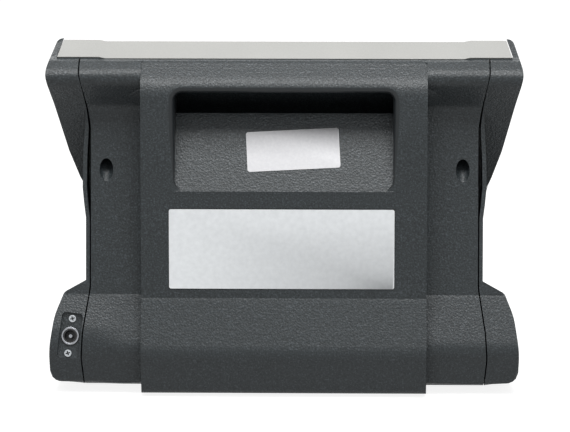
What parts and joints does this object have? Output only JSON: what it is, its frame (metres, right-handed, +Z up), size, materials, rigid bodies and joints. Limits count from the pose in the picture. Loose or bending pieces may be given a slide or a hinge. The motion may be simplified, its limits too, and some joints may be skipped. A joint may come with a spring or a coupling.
{
  "type": "compression therapy pump",
  "caption": "Table-top air pump for compression garments: hourglass housing with a sloping face of keys and a window, a carrying recess in the back and hose sockets at the front.",
  "frame": {"origin": "centre of the overall box at table level, under the four feet", "axes": "+Z up; the sloping face with its keys looks to -Y and up; the back with the handle recess looks to +Y; +X towards the end with the low-voltage inlet"},
  "size_m": [0.282, 0.1622, 0.2087],
  "materials": {
    "housing_plastic": "moulded grain",
    "panel_plastic": "fine satin",
    "window_plastic": "smoked, polished",
    "key_plastic": "satin",
    "start_plastic": "satin",
    "label_film": "silvered film",
    "sticker_paper": "smooth",
    "inlet_metal": "bright nickel",
    "inlet_plastic": "smooth",
    "screw_steel": "zinc plated",
    "foot_rubber": "matt",
    "socket_plastic": "satin",
    "lcd_glass": "flat",
    "circuit_board": "solder mask",
    "component_plastic": "moulded",
    "pump_metal": "die cast",
    "motor_steel": "drawn",
    "mount_rubber": "matt",
    "manifold_plastic": "moulded"
  },
  "bodies": {
    "pump_body": {"front_housing": "housing_plastic", "rear_cover": "housing_plastic", "face_panel": "panel_plastic", "display_window": "window_plastic", "lcd_module": "lcd_glass", "key_board": "circuit_board", "dome_switches": "component_plastic", "rubber_feet": "foot_rubber", "rating_label": "label_film", "recess_sticker": "sticker_paper", "dc_jack_ring": "inlet_metal", "dc_jack_body": "inlet_plastic", "dc_jack_pin": "inlet_metal", "jack_screws": "screw_steel", "cover_screws": "screw_steel", "hose_sockets": "socket_plastic", "chassis_mounts": "mount_rubber", "pump_chassis": "motor_steel", "pump_motor": "motor_steel", "crank_case": "pump_metal", "pump_heads": "pump_metal", "inlet_muffler": "manifold_plastic", "valve_manifold": "manifold_plastic", "solenoid_valves": "motor_steel", "main_board": "circuit_board", "board_components": "component_plastic", "buzzer": "component_plastic", "pressure_sensor": "component_plastic"},
    "power_key_cap": {"power_key": "key_plastic"},
    "left_key_cap": {"left_key": "key_plastic"},
    "down_key_cap": {"down_key": "key_plastic"},
    "up_key_cap": {"up_key": "key_plastic"},
    "right_key_cap": {"right_key": "key_plastic"},
    "start_key_cap": {"start_key": "start_plastic"},
    "pump_rotor": {"motor_shaft": "motor_steel", "eccentric": "pump_metal"}
  },
  "joints": [
    {"name": "power_key_press", "type": "slide", "parent": "pump_body", "child": "power_key_cap", "axis": [0, 0.8192, -0.5736], "range_m": [0, 0.001], "stiffness_N_per_m": 1200, "springref_m": -0.0003},
    {"name": "left_key_press", "type": "slide", "parent": "pump_body", "child": "left_key_cap", "axis": [0, 0.8192, -0.5736], "range_m": [0, 0.001], "stiffness_N_per_m": 1200, "springref_m": -0.0003},
    {"name": "down_key_press", "type": "slide", "parent": "pump_body", "child": "down_key_cap", "axis": [0, 0.8192, -0.5736], "range_m": [0, 0.001], "stiffness_N_per_m": 1200, "springref_m": -0.0003},
    {"name": "up_key_press", "type": "slide", "parent": "pump_body", "child": "up_key_cap", "axis": [0, 0.8192, -0.5736], "range_m": [0, 0.001], "stiffness_N_per_m": 1200, "springref_m": -0.0003},
    {"name": "right_key_press", "type": "slide", "parent": "pump_body", "child": "right_key_cap", "axis": [0, 0.8192, -0.5736], "range_m": [0, 0.001], "stiffness_N_per_m": 1200, "springref_m": -0.0003},
    {"name": "start_key_press", "type": "slide", "parent": "pump_body", "child": "start_key_cap", "axis": [0, 0.8192, -0.5736], "range_m": [0, 0.001], "stiffness_N_per_m": 1200, "springref_m": -0.0003},
    {"name": "pump_shaft_turn", "type": "hinge", "parent": "pump_body", "child": "pump_rotor", "pos_m": [-0.006, 0.013, 0.041], "axis": [1, 0, 0], "continuous": true}
  ]
}
